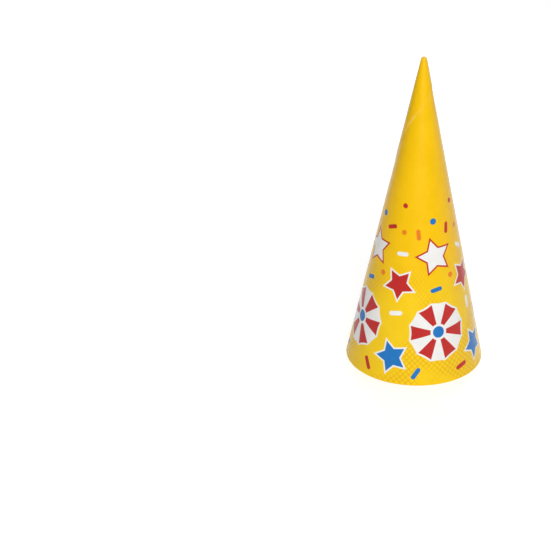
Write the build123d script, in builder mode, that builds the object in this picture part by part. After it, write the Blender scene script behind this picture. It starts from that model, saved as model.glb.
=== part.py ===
from build123d import *

import os
from math import asin, atan2, ceil, cos, degrees, hypot, pi, radians, sin, tan

# Driving dimensions, in millimetres and degrees
mouth_diameter = 60.0     # across the outside of the rim
sleeve_height = 140.0     # from the rim to the rounded tip
tip_radius = 1.5          # rounding of the tight-wound tip
paper_thickness = 0.2     # coated paper
lap_width = 12.0          # glued lap, measured along the rim
edge_offset = 16.0        # how far from the cone's apex the straight outer edge would pass
edge_turn = 320.0         # how far round the cone the outer edge winds, from the rim to its corner
edge_bearing = 110.0      # where the outer edge meets the rim, counter-clockwise from +X

# Allowances of the construction
tip_clearance = 0.05      # between the wound layers and the flank of the rounding
trim_below_rim = 5.0      # the tail is drawn this far below the rim before its edge is cut
trim_turn = 3.0           # the cut runs on this many degrees past both ends of the edge

# How the sheet is drawn: its faces are counted in layers out from the inside one
inside_face = 0
outside_face = 1
half_turn = 0.5           # the sheet is wound in half turns, counted from the foot of its outer edge
edge_steps = 24           # the outer edge is drawn in this many steps

# The cone that the outermost layer lies on at the rim
mouth_radius = mouth_diameter / 2
tip_centre_height = sleeve_height - tip_radius
layers_above_rim = paper_thickness * edge_turn / 360 + tip_clearance
half_angle = atan2(mouth_radius, tip_centre_height) - asin(
    (tip_radius - layers_above_rim) / hypot(mouth_radius, tip_centre_height)
)
apex_height = mouth_radius / tan(half_angle)
rim_slant = mouth_radius / sin(half_angle)

# The sheet is wound counter-clockwise from its inner edge, each turn one thickness further out
level_thickness = paper_thickness / cos(half_angle)
turns_at_rim = 1 + lap_width / (pi * mouth_diameter)
turns_at_corner = turns_at_rim + edge_turn / 360
inner_edge_bearing = edge_bearing - 360 * turns_at_rim
bore_radius_at_rim = mouth_radius - level_thickness * (turns_at_rim + 1)
bore_end_height = (bore_radius_at_rim - tip_radius) / tan(half_angle)
axis_offset = level_thickness / 4
half_turns = range(-ceil(turns_at_rim / half_turn), ceil(edge_turn / 360 / half_turn))

# How far round from the rim the points of the outer edge lie, and those of its cut, in degrees
edge_stations = [edge_turn * step / edge_steps for step in range(edge_steps + 1)]
cut_stations = [-trim_turn, *edge_stations, edge_turn + trim_turn]


def bearing(turns):
    """Level direction in which the sheet lies after so many turns from its inner edge."""
    angle = radians(inner_edge_bearing) + 2 * pi * turns
    return Vector(cos(angle), sin(angle), 0)


def half_start(half):
    """How far the sheet has wound where a half turn begins, in turns from its inner edge."""
    return turns_at_rim + half_turn * half


def winding_centre(half):
    """Where the axis of a half turn stands: off the sleeve's axis, to one side and then to the other."""
    return bearing(half_start(half)) * -axis_offset


def sheet_radius(height, half, face):
    """Radius of a face of the sheet about the axis of its half turn: each half turn is a true cone."""
    layers = half_start(half) + face
    return bore_radius_at_rim - height * tan(half_angle) + level_thickness * layers + axis_offset


def edge_height(turned):
    """Height of the straight outer edge where it has wound this many degrees on from the rim."""
    slant = edge_offset / sin(asin(edge_offset / rim_slant) + radians(turned) * sin(half_angle))
    return apex_height - slant * cos(half_angle)


def wound_cone(bottom, top, first_turn, last_turn, face, mode=Mode.ADD):
    """The wound cone between two heights, solid out to a face of the sheet, added to or cut from the part."""
    pieces = []
    for half in half_turns:
        first = max(first_turn, half_start(half))
        last = min(last_turn, half_start(half + 1))
        if first < last:
            centre = winding_centre(half)
            corners = [(sheet_radius(height, half, face), height) for height in (bottom, top)]
            with BuildSketch(Plane(centre, bearing(first), bearing(first).cross(Vector(0, 0, 1)))) as section:
                with BuildLine():
                    Polyline((0, bottom), *corners, (0, top), close=True)
                make_face()
            axis = Axis(centre, (0, 0, 1))
            pieces.append(revolve(section.sketch, axis, 360 * (last - first), mode=Mode.PRIVATE))
    add(pieces, mode=mode)


def edge_line(outward):
    """The outer edge as it winds up the cone, carried level outward from the sheet's outside face."""
    points = []
    for turned in cut_stations:
        half = turned // (360 * half_turn)
        height = edge_height(turned)
        radius = sheet_radius(height, half, outside_face) + outward
        outward_way = bearing(turns_at_rim + turned / 360)
        points.append(winding_centre(half) + outward_way * radius + Vector(0, 0, height))
    return Edge.make_spline(points, parameters=cut_stations)


with BuildPart() as cone_sleeve:
    # The tail of the sheet, which winds on over the cone past its lap
    wound_cone(-trim_below_rim, sleeve_height, turns_at_rim, turns_at_corner, outside_face)
    # The tail's straight outer edge: all of the tail that lies below it is cut away
    cut = Face.make_surface_from_curves(edge_line(-2 * level_thickness), edge_line(mouth_diameter))
    extrude(cut, amount=2 * sleeve_height, dir=(0, 0, -1), mode=Mode.SUBTRACT)
    # The full turn under the tail
    wound_cone(0, sleeve_height, turns_at_rim - 1, turns_at_rim, outside_face)
    # The hollow that the wafer cone fills, up to where the layers close on themselves
    wound_cone(0, bore_end_height, 0, 1, inside_face, Mode.SUBTRACT)
    # The rounded tip
    with BuildSketch(Plane.XZ):
        with BuildLine():
            flank = degrees(half_angle)
            dome = CenterArc((0, tip_centre_height), tip_radius, flank, 90 - flank)
            Polyline(dome @ 0, (mouth_diameter, (dome @ 0).Y), (mouth_diameter, 0), (0, 0), dome @ 1)
        make_face()
    revolve(axis=Axis.Z, mode=Mode.INTERSECT)

cone_sleeve.part.label = "cone_sleeve"

os.makedirs("parts", exist_ok=True)
export_step(cone_sleeve.part, "parts/cone_sleeve.step")
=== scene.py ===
from math import acos, asin, atan2, cos, exp, hypot, pi, radians, sin, tan

import bmesh
import bpy
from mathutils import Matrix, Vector


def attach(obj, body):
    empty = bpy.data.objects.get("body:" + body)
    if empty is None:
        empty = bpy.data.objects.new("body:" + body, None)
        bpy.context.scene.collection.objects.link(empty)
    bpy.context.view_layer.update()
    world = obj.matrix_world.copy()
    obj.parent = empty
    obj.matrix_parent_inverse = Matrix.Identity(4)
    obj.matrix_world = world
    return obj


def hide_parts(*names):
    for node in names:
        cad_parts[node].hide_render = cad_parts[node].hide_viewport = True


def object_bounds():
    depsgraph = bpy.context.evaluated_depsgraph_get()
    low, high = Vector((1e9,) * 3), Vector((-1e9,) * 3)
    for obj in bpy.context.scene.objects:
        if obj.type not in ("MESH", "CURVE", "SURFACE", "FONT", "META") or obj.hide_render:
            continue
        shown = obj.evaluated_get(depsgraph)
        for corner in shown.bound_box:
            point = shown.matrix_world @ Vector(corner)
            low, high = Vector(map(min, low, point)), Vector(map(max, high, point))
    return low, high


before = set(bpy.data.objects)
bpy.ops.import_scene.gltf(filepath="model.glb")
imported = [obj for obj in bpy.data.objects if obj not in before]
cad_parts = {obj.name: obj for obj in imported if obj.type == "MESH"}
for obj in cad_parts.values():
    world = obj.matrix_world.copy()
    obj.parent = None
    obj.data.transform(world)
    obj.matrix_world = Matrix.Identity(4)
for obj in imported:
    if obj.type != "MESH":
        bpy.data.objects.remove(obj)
cad_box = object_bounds()

# Sizes of the rolled sleeve, in metres and degrees
mouth_radius = 0.030        # to the outside of the rim
sleeve_height = cad_box[1].z
tip_radius = 0.0015         # rounding of the tight-wound tip
tip_clearance = 0.00005     # between the wound layers and the flank of the rounding
wall_pitch = 0.0002         # from one layer of paper to the next
paper_thickness = 0.000185  # the rest of the pitch is air and glue
lap_width = 0.012           # glued lap, measured along the rim
edge_offset = 0.0160        # how far from the cone's apex the straight outer edge would pass
edge_turn = 320.0           # how far round the cone the outer edge winds
edge_bearing = 110.0        # where the outer edge meets the rim, counter-clockwise from +X
edge_lift = 0.00004         # how far the free outer edge stands off the paper under it
edge_lift_reach = 0.0012    # how quickly that lift dies away from the edge
edge_press = 0.7            # the share of its thickness that the free outer edge has lost to the rolling
edge_press_reach = 0.0006   # how quickly that loss dies away from the edge
front_bearing = -90.0       # the side that faces the camera

# How finely the sheet is divided
columns_per_turn = 144
flank_rows = 96
tip_rows = 12
edge_rows = (0.0002, 0.0004, 0.0007, 0.0012, 0.002)   # how far from the outer edge the rows along it lie
merge_distance = 1e-7
sharp_angle = 40.0          # corners that turn by more than this are shaded sharp

# The cone that the outermost layer lies on at the rim
turns_at_rim = 1 + lap_width / (2 * pi * mouth_radius)
turns_at_corner = turns_at_rim + edge_turn / 360
tip_centre_height = sleeve_height - tip_radius
layers_above_rim = wall_pitch * edge_turn / 360 + tip_clearance
half_angle = atan2(mouth_radius, tip_centre_height) - asin(
    (tip_radius - layers_above_rim) / hypot(mouth_radius, tip_centre_height)
)
rim_slant = mouth_radius / sin(half_angle)
inner_edge_bearing = radians(edge_bearing) - 2 * pi * turns_at_rim
front_turn = (radians(front_bearing) - inner_edge_bearing) / (2 * pi) % 1

# The flat blank: the angle that one turn of the sleeve takes up, and the way the outer edge faces,
# both on the sheet itself and where that edge comes to lie on the layer under it
flat_turn = 2 * pi * sin(half_angle)
outer_edge_angle = flat_turn * turns_at_rim + acos(edge_offset / rim_slant)
under_edge_angle = outer_edge_angle - flat_turn
outer_edge_normal = Vector((cos(outer_edge_angle), sin(outer_edge_angle), 0))
under_edge_normal = Vector((cos(under_edge_angle), sin(under_edge_angle), 0))

# The rounded tip: the rounding of the innermost and outermost layers, and where it lies on the flat blank
innermost_rounding = tip_radius - tip_clearance - wall_pitch * (turns_at_corner + 1)
outermost_rounding = tip_radius - tip_clearance
tip_slant = rim_slant - tip_centre_height / cos(half_angle)
pole_slant = tip_slant - outermost_rounding * (pi / 2 - half_angle)

# The paper's finish, in metres
ridges_per_turn = 22.0      # faint ridges that rolling leaves along the sleeve
ridge_length = 0.09
ridge_depth = 0.00012
ridge_strength = 0.6
grain_strength = 0.5
noise_low = 0.3             # most values of a noise lie between these two
noise_high = 0.7

# The print is laid out in millimetres on the flat blank
MILLIMETRE = 0.001
print_edge = 0.05           # half the width over which an ink's edge softens
motifs_per_row = 4          # how often each motif comes round the sleeve
rim = rim_slant / MILLIMETRE

# The studio, in metres, degrees and watts
table_radius = 0.45
table_grey = 0.86
table_glow = 0.42           # what the table gives off where it is seen, so that it shows white
table_glow_edge = (-0.04, 0.03)   # reflections show that glow from here on, towards the backdrop
backdrop_direction = Vector((0.55, 0.70, 0.45)).normalized()
backdrop_edge = (-0.1, 0.5)       # the cosines to that direction between which the backdrop sets in
backdrop_light = 0.36       # the light that the backdrop gives
room_light = 0.2            # the light that the room gives on the camera's side
lamp_size = 0.8
key_lamp_place = (0.0, -0.98, 0.60)
key_lamp_power = 9.6
back_lamp_place = (0.10, 0.98, 0.60)
back_lamp_power = 5.4
camera_place = (-0.0615, -0.8038, 0.4581)
camera_tilt = 62.42         # up from looking straight down
camera_lens = 136.4         # in millimetres, on the sensor below
camera_sensor = 36.0


def srgb(red, green, blue):
    """A colour given in 0 to 255 screen values, as the linear colour that the shaders use."""
    def linear(value):
        share = value / 255
        return share / 12.92 if share <= 0.04045 else ((share + 0.055) / 1.055) ** 2.4
    return (linear(red), linear(green), linear(blue), 1.0)


# Inks and papers, and the colour of the painted highlights
yellow_ink = srgb(254, 201, 2)
# a lighter yellow that the field turns to towards the mouth
mouth_yellow = srgb(253, 209, 14)
deep_yellow_ink = srgb(222, 156, 14)
red_ink = srgb(196, 42, 38)
blue_ink = srgb(30, 120, 196)
white_ink = srgb(244, 243, 240)
orange_ink = srgb(238, 128, 30)
# paler yellow, painted as the highlight along the outer edge and on the tip
highlight_ink = srgb(255, 209, 84)
inside_white = srgb(238, 236, 234)
cut_paper = srgb(255, 214, 120)


# The rolled sleeve

def lay_out_flat(sheet, columns, rows):
    """Bends a unit square grid into the sector of a ring that the flat blank is cut from."""
    for vertex in sheet.verts:
        column = (vertex.co.x + 0.5) * columns
        row = round((vertex.co.y + 0.5) * rows)
        if row < tip_rows:
            slant = pole_slant + (tip_slant - pole_slant) * row / tip_rows
        else:
            slant = tip_slant + (rim_slant - tip_slant) * (row - tip_rows) / flank_rows
        angle = flat_turn * turns_at_corner * column / columns
        vertex.co = Vector((slant * cos(angle), slant * sin(angle), 0))


def cut_outer_edge(sheet):
    """Cuts the blank along its straight outer edge, and divides it in rows that follow that edge."""
    for from_edge in (0.0, *edge_rows):
        bmesh.ops.bisect_plane(
            sheet,
            geom=sheet.verts[:] + sheet.edges[:] + sheet.faces[:],
            dist=merge_distance,
            plane_co=outer_edge_normal * (edge_offset - from_edge),
            plane_no=outer_edge_normal,
            clear_outer=from_edge == 0.0,
        )


def roll_up(point):
    """Where a point of the flat blank comes to lie when the blank is rolled into the sleeve."""
    slant = hypot(point.x, point.y)
    turns = atan2(point.y, point.x) / flat_turn
    bearing = inner_edge_bearing + 2 * pi * turns

    # How far out of the innermost layer the point lies
    from_edge = max(edge_offset - point.dot(outer_edge_normal), 0)
    pressed = 1 - edge_press * exp(-from_edge / edge_press_reach)
    lift = edge_lift * exp(-from_edge / edge_lift_reach)
    rounding = innermost_rounding + wall_pitch * turns + point.z * pressed + lift

    if slant >= tip_slant:
        # On the flank
        flank_top = tip_centre_height + rounding * sin(half_angle)
        height = flank_top * (rim_slant - slant) / (rim_slant - tip_slant)
        radius = rounding / cos(half_angle) + (tip_centre_height - height) * tan(half_angle)
    else:
        # On the rounded tip, where all layers close in on one point
        share = (tip_slant - slant) / (tip_slant - pole_slant)
        closing = share * share * (3 - 2 * share)
        rounding += (outermost_rounding - rounding) * closing
        rise = half_angle + (pi / 2 - half_angle) * share
        height = tip_centre_height + rounding * sin(rise)
        radius = rounding * cos(rise) if share < 1 else 0.0
    return Vector((radius * cos(bearing), radius * sin(bearing), height))


def put_in_scene(name, shape, *materials):
    """Makes a finished shape an object at the origin, with its materials in order."""
    mesh = bpy.data.meshes.new(name)
    shape.to_mesh(mesh)
    shape.free()
    for material in materials:
        mesh.materials.append(material)
    made = bpy.data.objects.new(name, mesh)
    bpy.context.scene.collection.objects.link(made)
    return made


def rolled_sleeve(outside, inside, cut_edge):
    """One sheet of paper: cut flat, given its thickness and rolled up."""
    columns = round(columns_per_turn * turns_at_corner)
    rows = flank_rows + tip_rows
    sheet = bmesh.new()
    bmesh.ops.create_grid(sheet, x_segments=columns, y_segments=rows, size=0.5)
    lay_out_flat(sheet, columns, rows)
    cut_outer_edge(sheet)

    # The thickness of the paper, with its underside at nought
    bmesh.ops.solidify(sheet, geom=sheet.faces[:], thickness=paper_thickness)
    underside = min(vertex.co.z for vertex in sheet.verts)
    bmesh.ops.translate(sheet, verts=sheet.verts[:], vec=(0, 0, -underside))
    bmesh.ops.recalc_face_normals(sheet, faces=sheet.faces[:])

    # The print lies flat on the blank, so its map is the blank itself
    flat_map = sheet.loops.layers.uv.new("flat_blank")
    for face in sheet.faces:
        for loop in face.loops:
            loop[flat_map].uv = loop.vert.co.xy

    # The outside, the inside and the cut edges each have a material
    for face in sheet.faces:
        face.smooth = True
        facing = round(face.normal.z)
        face.material_index = {1: 0, -1: 1, 0: 2}[facing]

    for vertex in sheet.verts:
        vertex.co = roll_up(vertex.co)
    bmesh.ops.remove_doubles(sheet, verts=sheet.verts[:], dist=merge_distance)

    sleeve = put_in_scene("rolled_sleeve", sheet, outside, inside, cut_edge)
    sleeve.data.set_sharp_from_angle(angle=radians(sharp_angle))
    return sleeve


# Shader wiring

SOCKETS = {"number": "NodeSocketFloat", "vector": "NodeSocketVector", "colour": "NodeSocketColor"}


class Wiring:
    """Adds nodes to one shader tree and links them."""

    def __init__(self, tree):
        self.tree = tree

    def node(self, kind, **settings):
        """A new node with its settings."""
        made = self.tree.nodes.new(kind)
        for name, value in settings.items():
            setattr(made, name, value)
        return made

    def feed(self, socket, value):
        """Links a socket to another one, or gives it a value of its own."""
        if isinstance(value, bpy.types.NodeSocket):
            self.tree.links.new(value, socket)
        else:
            socket.default_value = value

    def feed_all(self, sockets, values):
        """Feeds sockets in their order."""
        for socket, value in zip(sockets, values):
            self.feed(socket, value)

    def math(self, operation, *values):
        """A sum on numbers."""
        made = self.node("ShaderNodeMath", operation=operation)
        self.feed_all(made.inputs, values)
        return made.outputs["Value"]

    def vector(self, operation, *values):
        """A sum on vectors: a number for a length or a dot product, and otherwise a vector."""
        made = self.node("ShaderNodeVectorMath", operation=operation)
        self.feed_all(made.inputs, values)
        return made.outputs["Value" if operation in ("LENGTH", "DOT_PRODUCT") else "Vector"]

    def scaled(self, vector, scale):
        """A vector times a number."""
        made = self.node("ShaderNodeVectorMath", operation="SCALE")
        self.feed(made.inputs["Vector"], vector)
        self.feed(made.inputs["Scale"], scale)
        return made.outputs["Vector"]

    def parts(self, vector):
        """The three numbers of a vector."""
        made = self.node("ShaderNodeSeparateXYZ")
        self.feed(made.inputs["Vector"], vector)
        return made.outputs["X"], made.outputs["Y"], made.outputs["Z"]

    def together(self, x, y, z=0.0):
        """A vector of three numbers."""
        made = self.node("ShaderNodeCombineXYZ")
        self.feed_all(made.inputs, (x, y, z))
        return made.outputs["Vector"]

    def ramp(self, value, low, high, at_low=0.0, at_high=1.0):
        """Goes smoothly from one number to another while a value goes from low to high."""
        made = self.node("ShaderNodeMapRange", interpolation_type="SMOOTHSTEP")
        self.feed(made.inputs["Value"], value)
        self.feed(made.inputs["From Min"], low)
        self.feed(made.inputs["From Max"], high)
        self.feed(made.inputs["To Min"], at_low)
        self.feed(made.inputs["To Max"], at_high)
        return made.outputs["Result"]

    def mix(self, share, first, second):
        """A mix of two colours."""
        made = self.node("ShaderNodeMix", data_type="RGBA")
        self.feed(made.inputs["Factor"], share)
        self.feed(made.inputs["A"], first)
        self.feed(made.inputs["B"], second)
        return made.outputs["Result"]

    def noise(self, place, scale, detail):
        """A soft noise, from nought to one."""
        made = self.node("ShaderNodeTexNoise")
        self.feed(made.inputs["Vector"], place)
        self.feed(made.inputs["Scale"], scale)
        self.feed(made.inputs["Detail"], detail)
        return made.outputs[0]

    def bump(self, height, strength, distance):
        """A node that raises the surface by a height."""
        made = self.node("ShaderNodeBump")
        self.feed(made.inputs["Height"], height)
        self.feed(made.inputs["Strength"], strength)
        self.feed(made.inputs["Distance"], distance)
        return made

    def inside(self, distance):
        """A mask with a crisp printed edge where a distance in millimetres falls below nought."""
        return self.ramp(distance, -print_edge, print_edge, 1.0, 0.0)

    def flat_blank(self):
        """Where a point lies on the flat blank, in metres."""
        return self.node("ShaderNodeUVMap", uv_map="flat_blank").outputs["UV"]

    def use(self, group, **values):
        """The outputs of a shader group that is given these values."""
        made = self.node("ShaderNodeGroup", node_tree=group)
        for name, value in values.items():
            self.feed(made.inputs[name.replace("_", " ")], value)
        return made.outputs


def new_group(name, inputs, outputs):
    """An empty shader group, its wiring, its input sockets and the sockets that take its results."""
    group = bpy.data.node_groups.new(name, "ShaderNodeTree")
    for socket, kind in inputs.items():
        group.interface.new_socket(name=socket, in_out="INPUT", socket_type=SOCKETS[kind])
    for socket, kind in outputs.items():
        group.interface.new_socket(name=socket, in_out="OUTPUT", socket_type=SOCKETS[kind])
    wiring = Wiring(group)
    given = wiring.node("NodeGroupInput").outputs
    result = wiring.node("NodeGroupOutput").inputs
    return group, wiring, given, result


def new_material(name):
    """A material with its wiring and its surface shader."""
    material = bpy.data.materials.new(name)
    material.use_nodes = True
    wiring = Wiring(material.node_tree)
    return material, wiring, material.node_tree.nodes["Principled BSDF"]


def round_and_down(wiring, flat):
    """How far round the sleeve a point of the flat blank lies, in turns, and how far from the apex."""
    x, y, _ = wiring.parts(flat)
    turns = wiring.math("DIVIDE", wiring.math("ARCTAN2", y, x), flat_turn)
    return turns, wiring.vector("LENGTH", flat)


# The paper's own surface

def grain_group():
    """The fine unevenness of paper: its height, its tone and its gloss."""
    cloud_scale = 0.04
    group, wiring, given, result = new_group(
        "paper_grain",
        {"Place": "vector", "Fibre size": "number"},
        {"Height": "number", "Tone": "number", "Gloss": "number"},
    )
    scale = wiring.math("DIVIDE", 1.0, given["Fibre size"])
    fibres = wiring.noise(given["Place"], scale, detail=3.0)
    clouds = wiring.noise(given["Place"], wiring.math("MULTIPLY", scale, cloud_scale), detail=2.0)
    wiring.feed(result["Height"], fibres)
    wiring.feed(result["Tone"], clouds)
    wiring.feed(result["Gloss"], wiring.math("MULTIPLY", wiring.math("ADD", fibres, clouds), 0.5))
    return group


def ridge_group():
    """The faint ridges that rolling leaves along the sleeve, as a height."""
    group, wiring, given, result = new_group(
        "roll_ridges",
        {"Flat": "vector", "Ridges per turn": "number", "Ridge length": "number"},
        {"Height": "number"},
    )
    turns, slant = round_and_down(wiring, given["Flat"])
    across = wiring.math("MULTIPLY", turns, given["Ridges per turn"])
    along = wiring.math("DIVIDE", slant, given["Ridge length"])
    wiring.feed(result["Height"], wiring.noise(wiring.together(across, along), 1.0, detail=1.0))
    return group


paper_grain = grain_group()
roll_ridges = ridge_group()


def add_grain(wiring, surface, fibre_size, depth, smoothest, roughest):
    """Gives a surface the ridges of the rolling and the grain of paper, and returns the grain's tone."""
    rolled = wiring.use(
        roll_ridges, Flat=wiring.flat_blank(), Ridges_per_turn=ridges_per_turn, Ridge_length=ridge_length
    )
    place = wiring.node("ShaderNodeTexCoord").outputs["Object"]
    grain = wiring.use(paper_grain, Place=place, Fibre_size=fibre_size)
    ridges = wiring.bump(rolled["Height"], ridge_strength, ridge_depth)
    fibres = wiring.bump(grain["Height"], grain_strength, depth)
    wiring.feed(fibres.inputs["Normal"], ridges.outputs["Normal"])
    wiring.feed(surface.inputs["Normal"], fibres.outputs["Normal"])
    roughness = wiring.ramp(grain["Gloss"], noise_low, noise_high, smoothest, roughest)
    wiring.feed(surface.inputs["Roughness"], roughness)
    return grain["Tone"]


def plain_paper(name, colour, fibre_size):
    """Bare paper, without print or varnish, with faint darker clouds."""
    cloud_shade = 0.94
    material, wiring, surface = new_material(name)
    tone = add_grain(wiring, surface, fibre_size, depth=0.00002, smoothest=0.62, roughest=0.78)
    clouded = tuple(cloud_shade * part for part in colour[:3]) + (1.0,)
    wiring.feed(
        surface.inputs["Base Color"], wiring.mix(wiring.ramp(tone, noise_low, noise_high), clouded, colour)
    )
    return material


# The printed motifs

def row_group():
    """Where a point lies from the nearest motif of a row round the sleeve, and that motif's number."""
    group, wiring, given, result = new_group(
        "motif_row",
        {"Flat": "vector", "Row slant": "number", "Count": "number", "Start": "number"},
        {"Place": "vector", "Number": "number"},
    )
    turns, slant = round_and_down(wiring, given["Flat"])
    along = wiring.math("MULTIPLY", wiring.math("SUBTRACT", turns, given["Start"]), given["Count"])
    number = wiring.math("ROUND", along)
    share = wiring.math("DIVIDE", wiring.math("SUBTRACT", along, number), given["Count"])
    aside = wiring.math("MULTIPLY", share, flat_turn)
    across = wiring.math("MULTIPLY", slant, wiring.math("SINE", aside))
    from_apex = wiring.math("MULTIPLY", slant, wiring.math("COSINE", aside))
    down = wiring.math("SUBTRACT", from_apex, given["Row slant"])
    wiring.feed(result["Place"], wiring.together(across, down))
    wiring.feed(result["Number"], wiring.math("FLOORED_MODULO", number, given["Count"]))
    return group


def parasol_group():
    """A sunshade seen from above: straight panels of two inks, a scalloped hem and a hub."""
    panels = 12
    hem_dip = 0.055         # shares of the radius, as the next three are
    border_width = 0.06
    collar_radius = 0.27
    hub_radius = 0.19
    group, wiring, given, result = new_group(
        "parasol",
        {"Under": "colour", "Place": "vector", "Radius": "number", "Turn": "number",
         "Panel": "colour", "Other panel": "colour", "Hub": "colour"},
        {"Colour": "colour"},
    )
    x, y, _ = wiring.parts(given["Place"])
    reach = wiring.vector("LENGTH", given["Place"])
    angle = wiring.math("ADD", wiring.math("ARCTAN2", y, x), given["Turn"])

    # The hem draws in between two ribs
    share = wiring.math("FRACT", wiring.math("MULTIPLY", angle, panels / (2 * pi)))
    arch = wiring.math("MULTIPLY", share, wiring.math("SUBTRACT", 1.0, share))
    dip = wiring.math("MULTIPLY", arch, 4 * hem_dip)
    hem = wiring.math("MULTIPLY", given["Radius"], wiring.math("SUBTRACT", 1.0, dip))
    from_hem = wiring.math("SUBTRACT", reach, hem)

    # Panels of two inks by turns, then the border, the collar and the hub over them
    swing = wiring.math("SINE", wiring.math("MULTIPLY", angle, panels / 2))
    from_seam = wiring.math("MULTIPLY", wiring.math("MULTIPLY", swing, reach), 2 / panels)
    colour = wiring.mix(wiring.inside(from_seam), given["Panel"], given["Other panel"])
    border = wiring.math("ADD", from_hem, wiring.math("MULTIPLY", given["Radius"], border_width))
    colour = wiring.mix(wiring.inside(border), given["Other panel"], colour)
    for radius, ink in ((collar_radius, given["Other panel"]), (hub_radius, given["Hub"])):
        from_disc = wiring.math("SUBTRACT", reach, wiring.math("MULTIPLY", given["Radius"], radius))
        colour = wiring.mix(wiring.inside(from_disc), colour, ink)
    wiring.feed(result["Colour"], wiring.mix(wiring.inside(from_hem), given["Under"], colour))
    return group


def star_group():
    """A plump star with an outline."""
    points = 5
    waist = 0.52            # radius of the inner corners, as a share of the star's
    group, wiring, given, result = new_group(
        "star",
        {"Under": "colour", "Place": "vector", "Radius": "number", "Turn": "number",
         "Fill": "colour", "Outline": "colour", "Outline width": "number"},
        {"Colour": "colour"},
    )
    sector = 2 * pi / points
    side = Vector((waist * sin(sector / 2), 1 - waist * cos(sector / 2))).normalized()
    x, y, _ = wiring.parts(given["Place"])
    reach = wiring.vector("LENGTH", given["Place"])
    angle = wiring.math("ADD", wiring.math("ARCTAN2", x, y), given["Turn"])
    folded = wiring.math("PINGPONG", angle, sector / 2)
    along = wiring.math("MULTIPLY", wiring.math("COSINE", folded), side.x)
    across = wiring.math("MULTIPLY", wiring.math("SINE", folded), side.y)
    from_side = wiring.math(
        "SUBTRACT",
        wiring.math("MULTIPLY", reach, wiring.math("ADD", along, across)),
        wiring.math("MULTIPLY", given["Radius"], side.x),
    )
    outline = wiring.inside(wiring.math("SUBTRACT", from_side, given["Outline width"]))
    colour = wiring.mix(outline, given["Under"], given["Outline"])
    wiring.feed(result["Colour"], wiring.mix(wiring.inside(from_side), colour, given["Fill"]))
    return group


def sprinkle_group():
    """A short bar with round ends; one no longer than it is wide is a dot."""
    group, wiring, given, result = new_group(
        "sprinkle",
        {"Under": "colour", "Place": "vector", "Length": "number", "Width": "number", "Turn": "number",
         "Fill": "colour"},
        {"Colour": "colour"},
    )
    turned = wiring.node("ShaderNodeVectorRotate", rotation_type="Z_AXIS")
    wiring.feed(turned.inputs["Vector"], given["Place"])
    wiring.feed(turned.inputs["Angle"], given["Turn"])
    x, y, _ = wiring.parts(turned.outputs["Vector"])
    half = wiring.math("MULTIPLY", wiring.math("SUBTRACT", given["Length"], given["Width"]), 0.5)
    past_end = wiring.math("MAXIMUM", wiring.math("SUBTRACT", wiring.math("ABSOLUTE", x), half), 0.0)
    from_spine = wiring.vector("LENGTH", wiring.together(past_end, y))
    from_side = wiring.math("SUBTRACT", from_spine, wiring.math("MULTIPLY", given["Width"], 0.5))
    wiring.feed(result["Colour"], wiring.mix(wiring.inside(from_side), given["Under"], given["Fill"]))
    return group


def wafer_group():
    """Fine crossed lines like those baked into a wafer, as a mask."""
    group, wiring, given, result = new_group(
        "wafer_lines",
        {"Flat": "vector", "Count": "number", "Pitch": "number", "Line width": "number"},
        {"Mask": "number"},
    )
    turns, slant = round_and_down(wiring, given["Flat"])
    across = wiring.math("MULTIPLY", turns, given["Count"])
    down = wiring.math("DIVIDE", slant, given["Pitch"])
    outer_edge = wiring.math("DIVIDE", given["Line width"], given["Pitch"])
    inner_edge = wiring.math("MULTIPLY", outer_edge, 0.5)
    masks = []
    for operation in ("ADD", "SUBTRACT"):
        from_line = wiring.math("PINGPONG", wiring.math(operation, across, down), 0.5)
        masks.append(wiring.ramp(from_line, inner_edge, outer_edge, 1.0, 0.0))
    wiring.feed(result["Mask"], wiring.math("MAXIMUM", *masks))
    return group


motif_row = row_group()
parasol = parasol_group()
star = star_group()
sprinkle = sprinkle_group()
wafer_lines = wafer_group()


def row_of_motifs(wiring, flat, above_rim, bearing):
    """A row round the sleeve: how far above the rim it lies, and the first motif's degrees from the front."""
    return wiring.use(
        motif_row, Flat=flat, Row_slant=rim - above_rim, Count=motifs_per_row,
        Start=front_turn + bearing / 360,
    )


def add_wafer_lines(wiring, flat, slant):
    """The yellow field, turning lighter towards the mouth, with patches of wafer lines that fade out up the
    sleeve.
    """
    fade_end = 66.0         # above the rim
    fade_start = 30.0
    patch_scale = 0.055
    faintest = 0.05
    strongest = 0.75
    lines = wiring.use(wafer_lines, Flat=flat, Count=72.0, Pitch=2.6, Line_width=0.26)["Mask"]
    fade = wiring.ramp(slant, rim - fade_end, rim - fade_start)
    patches = wiring.ramp(wiring.noise(flat, patch_scale, detail=0.0), 0.42, 0.58, faintest, strongest)
    strength = wiring.math("MULTIPLY", wiring.math("MULTIPLY", lines, fade), patches)
    return wiring.mix(strength, wiring.mix(fade, yellow_ink, mouth_yellow), deep_yellow_ink)


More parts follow.
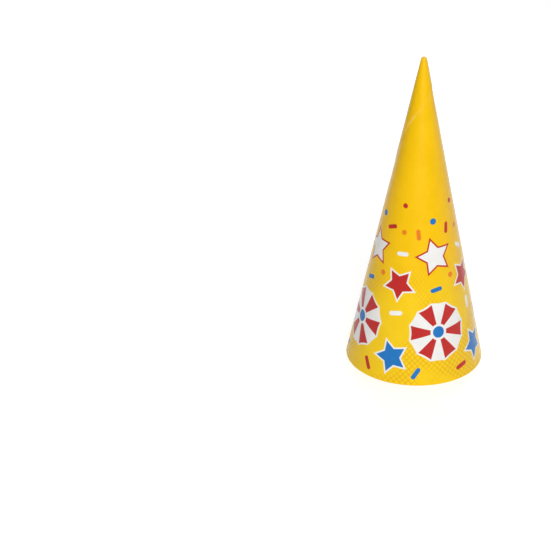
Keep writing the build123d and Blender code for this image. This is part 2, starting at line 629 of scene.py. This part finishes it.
def add_sprinkles(wiring, flat, colour):
    """Sprinkles and dots, each turned its own way."""
    # Distance above the rim, bearing from the front, length, width and ink
    rows = (
        (5.6, 42.0, 6.2, 2.0, red_ink),
        (5.4, -2.0, 5.8, 2.0, blue_ink),
        (31.5, 65.0, 6.0, 2.0, white_ink),
        (42.4, 20.0, 5.4, 1.9, blue_ink),
        (58.0, 66.0, 5.2, 1.8, white_ink),
        (68.5, 43.0, 5.0, 1.8, red_ink),
        (67.0, -3.0, 4.8, 1.8, orange_ink),
        (47.5, 41.0, 2.4, 2.4, orange_ink),
        (72.5, 20.0, 2.8, 2.8, blue_ink),
        (67.5, 65.0, 2.2, 2.2, orange_ink),
        (79.0, 62.0, 2.2, 2.2, red_ink),
    )
    for seed, (above_rim, bearing, length, width, ink) in enumerate(rows):
        row = row_of_motifs(wiring, flat, above_rim, bearing)
        chance = wiring.node("ShaderNodeTexWhiteNoise", noise_dimensions="2D")
        wiring.feed(chance.inputs["Vector"], wiring.together(row["Number"], seed + 0.5))
        turn = wiring.math("MULTIPLY", chance.outputs["Value"], pi)
        colour = wiring.use(
            sprinkle, Under=colour, Place=row["Place"], Length=length, Width=width, Turn=turn, Fill=ink
        )["Colour"]
    return colour


def add_stars(wiring, flat, colour):
    """Outlined stars."""
    # Distance above the rim, bearing from the front, radius, turn, ink and outline
    rows = (
        (11.8, 65.0, 7.2, 0.25, blue_ink, white_ink),
        (44.5, 65.0, 6.8, 0.0, red_ink, white_ink),
        (57.0, 20.0, 7.4, 0.4, white_ink, red_ink),
    )
    for above_rim, bearing, radius, turn, ink, outline in rows:
        row = row_of_motifs(wiring, flat, above_rim, bearing)
        colour = wiring.use(
            star, Under=colour, Place=row["Place"], Radius=radius, Turn=turn, Fill=ink, Outline=outline,
            Outline_width=0.7,
        )["Colour"]
    return colour


def add_parasols(wiring, flat, colour):
    """Striped parasols."""
    row = row_of_motifs(wiring, flat, above_rim=23.5, bearing=20.0)
    return wiring.use(
        parasol, Under=colour, Place=row["Place"], Radius=13.5, Turn=0.2, Panel=red_ink,
        Other_panel=white_ink, Hub=blue_ink,
    )["Colour"]


def painted_edge_highlight(wiring, flat, colour):
    """A pale band painted unevenly along the outer edge and beside it on the layer under it, as the highlight
    where that edge catches the light, most below the tip.
    """
    full_highlight_within = 0.1             # from the edge
    highlight_gone_at = 0.9
    corner_fade = 0.03             # in turns, before the edge's corner
    stretch_start = (26.0, 33.0)   # slants between which the painted highlight sets in, and dies away again
    stretch_end = (42.0, 66.0)
    highlight_towards_tip = 0.3
    patch_scale = 0.35
    weakest_patch = 0.55

    def highlight_within(distance):
        return wiring.ramp(distance, full_highlight_within, highlight_gone_at, 1.0, 0.0)

    def from_line(normal):
        return wiring.math(
            "SUBTRACT", edge_offset / MILLIMETRE, wiring.vector("DOT_PRODUCT", flat, normal)
        )

    turns, slant = round_and_down(wiring, flat)
    under_end = turns_at_corner - 1
    under = wiring.ramp(turns, under_end - corner_fade, under_end, 1.0, 0.0)
    beside_edge = wiring.math("ABSOLUTE", from_line(under_edge_normal))
    highlight_beside = wiring.math("MULTIPLY", highlight_within(beside_edge), under)
    edge_band = wiring.math("MAXIMUM", highlight_within(from_line(outer_edge_normal)), highlight_beside)

    blotches = wiring.node("ShaderNodeTexNoise", noise_dimensions="1D")
    wiring.feed(blotches.inputs["W"], slant)
    wiring.feed(blotches.inputs["Scale"], patch_scale)
    wiring.feed(blotches.inputs["Detail"], 1.0)
    patches = wiring.ramp(blotches.outputs[0], 0.35, 0.65, weakest_patch, 1.0)
    setting_in = wiring.ramp(slant, *stretch_start, highlight_towards_tip, 1.0)
    dying_away = wiring.ramp(slant, *stretch_end, 1.0, 0.0)
    highlight_strength = wiring.math("MULTIPLY", wiring.math("MULTIPLY", setting_in, dying_away), patches)
    # paler yellow painted over the print as the edge's highlight
    return wiring.mix(wiring.math("MULTIPLY", edge_band, highlight_strength), colour, highlight_ink)


def painted_tip_highlight(wiring, slant, colour):
    """A paler top painted on the rounded tip as its highlight."""
    highlight_length = 2.5     # down from the top of the tip
    strongest_highlight = 0.9
    pole = pole_slant / MILLIMETRE
    tip_highlight = wiring.ramp(slant, pole, pole + highlight_length, strongest_highlight, 0.0)
    # paler yellow painted on the top of the tip as its highlight
    return wiring.mix(tip_highlight, colour, highlight_ink)


def printed_outside():
    """Varnished paper, printed yellow all over with a scatter of holiday motifs towards the mouth."""
    cloud_shade = 0.965
    material, wiring, surface = new_material("printed_outside")
    flat = wiring.scaled(wiring.flat_blank(), 1 / MILLIMETRE)
    slant = wiring.vector("LENGTH", flat)
    colour = add_wafer_lines(wiring, flat, slant)
    colour = add_sprinkles(wiring, flat, colour)
    colour = add_stars(wiring, flat, colour)
    colour = add_parasols(wiring, flat, colour)
    # a pale band painted along the lap's outer edge as its highlight
    colour = painted_edge_highlight(wiring, flat, colour)
    # a highlight painted on the top of the rounded tip
    colour = painted_tip_highlight(wiring, slant, colour)
    tone = add_grain(wiring, surface, fibre_size=0.00035, depth=0.000008, smoothest=0.22, roughest=0.31)
    shade = wiring.ramp(tone, noise_low, noise_high, cloud_shade, 1.0)
    shaded = wiring.vector("MULTIPLY", colour, wiring.together(shade, shade, shade))
    wiring.feed(surface.inputs["Base Color"], shaded)
    surface.inputs["Specular IOR Level"].default_value = 0.25
    surface.inputs["Coat Weight"].default_value = 0.05
    surface.inputs["Coat Roughness"].default_value = 0.16
    return material


# The studio

def seen_white(wiring, behind):
    """Which rays see the studio white: the camera's, and reflections of what lies behind the sleeve."""
    path = wiring.node("ShaderNodeLightPath").outputs
    seen = wiring.math("MAXIMUM", path["Is Camera Ray"], path["Is Transmission Ray"])
    return wiring.math("MAXIMUM", seen, wiring.math("MULTIPLY", path["Is Glossy Ray"], behind))


def white_studio():
    """A studio with a white backdrop behind the sleeve, and a dim room on the camera's side."""
    world = bpy.data.worlds.new("white_studio")
    world.use_nodes = True
    wiring = Wiring(world.node_tree)
    direction = wiring.node("ShaderNodeTexCoord").outputs["Generated"]
    towards = wiring.vector("DOT_PRODUCT", direction, backdrop_direction)
    behind = wiring.ramp(towards, *backdrop_edge)
    extra = wiring.math("MULTIPLY", behind, backdrop_light - room_light)
    light = wiring.math("ADD", room_light, extra)
    up_to_white = wiring.math("MULTIPLY", seen_white(wiring, behind), wiring.math("SUBTRACT", 1.0, light))
    background = world.node_tree.nodes["Background"]
    background.inputs["Color"].default_value = (1, 1, 1, 1)
    wiring.feed(background.inputs["Strength"], wiring.math("ADD", light, up_to_white))
    return world


def white_floor():
    """A round white table top that keeps the sleeve's shadow."""
    material, wiring, surface = new_material("studio_floor")
    surface.inputs["Base Color"].default_value = (table_grey, table_grey, table_grey, 1)
    surface.inputs["Roughness"].default_value = 1.0
    surface.inputs["Specular IOR Level"].default_value = 0.0
    surface.inputs["Emission Color"].default_value = (1, 1, 1, 1)
    place = wiring.node("ShaderNodeTexCoord").outputs["Object"]
    behind = wiring.ramp(wiring.vector("DOT_PRODUCT", place, backdrop_direction), *table_glow_edge)
    glow = wiring.math("MULTIPLY", seen_white(wiring, behind), table_glow)
    wiring.feed(surface.inputs["Emission Strength"], glow)
    table_top = bmesh.new()
    bmesh.ops.create_circle(table_top, cap_ends=True, segments=96, radius=table_radius)
    return put_in_scene("studio_floor", table_top, material)


def soft_lamp(name, place, power):
    """A square lamp that points at the middle of the sleeve."""
    light = bpy.data.lights.new(name, "AREA")
    light.size = lamp_size
    light.energy = power
    lamp = bpy.data.objects.new(name, light)
    lamp.location = place
    aim = Vector((0, 0, sleeve_height / 2)) - Vector(place)
    lamp.rotation_euler = aim.to_track_quat("-Z", "Y").to_euler()
    bpy.context.scene.collection.objects.link(lamp)


def photo_camera():
    """A camera at the photograph's viewing angle."""
    view = bpy.data.cameras.new("photo_camera")
    view.sensor_width = camera_sensor
    view.lens = camera_lens
    camera = bpy.data.objects.new("photo_camera", view)
    camera.location = camera_place
    camera.rotation_euler = (radians(camera_tilt), 0, 0)
    bpy.context.scene.collection.objects.link(camera)
    return camera


scene = bpy.context.scene
scene.view_settings.view_transform = "Standard"
scene.world = white_studio()
scene.camera = photo_camera()
soft_lamp("key_lamp", key_lamp_place, key_lamp_power)
soft_lamp("back_lamp", back_lamp_place, back_lamp_power)
white_floor()

sleeve = rolled_sleeve(
    printed_outside(),
    plain_paper("white_inside", inside_white, fibre_size=0.0004),
    plain_paper("cut_edge", cut_paper, fibre_size=0.0001),
)
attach(sleeve, "root")
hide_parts("cone_sleeve")
